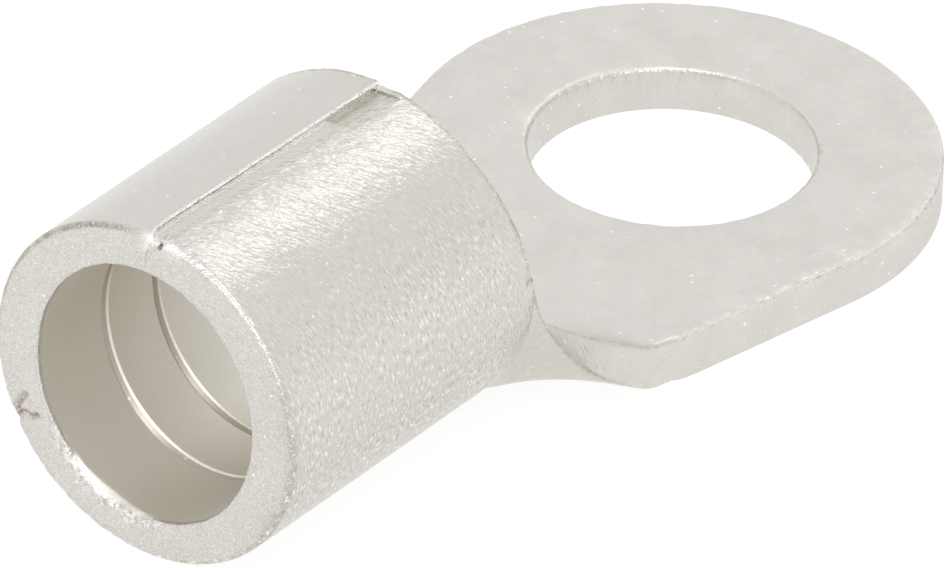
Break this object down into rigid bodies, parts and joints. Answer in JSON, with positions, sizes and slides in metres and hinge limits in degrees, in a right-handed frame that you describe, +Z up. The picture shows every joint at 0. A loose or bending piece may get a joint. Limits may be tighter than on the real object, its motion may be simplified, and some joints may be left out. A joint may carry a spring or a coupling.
{
  "type": "ring terminal",
  "caption": "Uninsulated crimp ring terminal: a flat ring for a stud, joined by an open neck to a rolled barrel that takes a stranded wire.",
  "frame": {"origin": "on the stud hole's axis, in the plane of the palm's underside", "axes": "+Z up the stud, +X from the barrel's mouth towards the ring's tip, +Y to the left"},
  "size_m": [0.033, 0.0158, 0.0107],
  "materials": {
    "tinned_copper": "satin tin plate, warm silver, grainy where the sheet was sheared"
  },
  "bodies": {
    "root": {"ring_terminal": "tinned_copper"}
  },
  "joints": []
}
